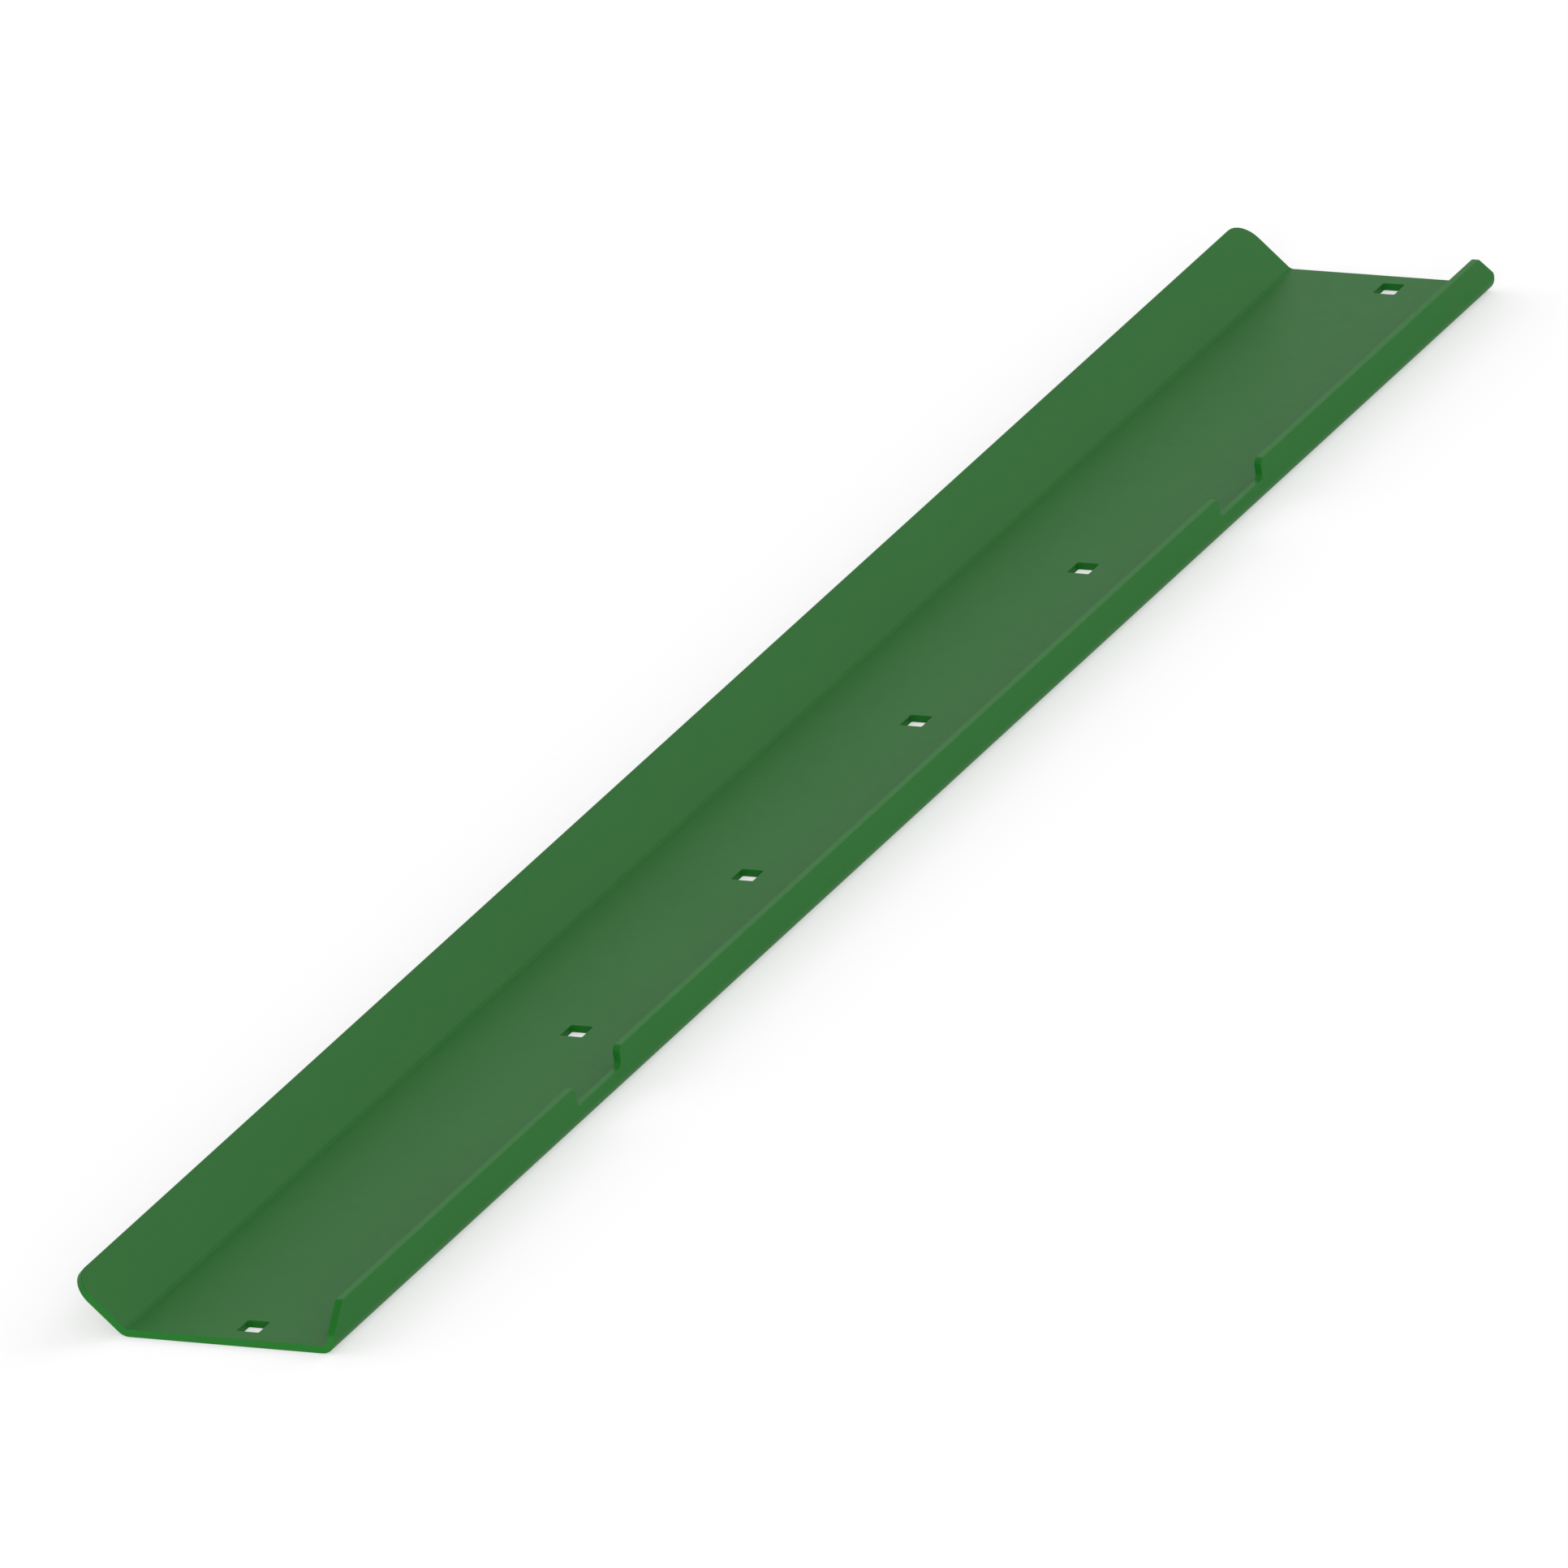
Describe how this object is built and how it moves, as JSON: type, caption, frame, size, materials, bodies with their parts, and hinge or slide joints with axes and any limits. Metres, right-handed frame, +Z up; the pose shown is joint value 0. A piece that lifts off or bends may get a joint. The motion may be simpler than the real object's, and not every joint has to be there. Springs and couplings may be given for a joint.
{
  "type": "straight slide channel",
  "caption": "Long, shallow channel folded from green painted sheet steel, with a flared flange, a notched upright lip and square bolt holes, to guide and carry what slides along it.",
  "frame": {"origin": "middle of the footprint, on the plane that the underside rests on", "axes": "+X across the slide, towards the upright lip; +Y along its length; +Z up, out of the channel"},
  "size_m": [0.1086, 0.964, 0.0221],
  "materials": {
    "green_paint": "satin"
  },
  "bodies": {
    "root": {"slide_channel": "green_paint"}
  },
  "joints": []
}
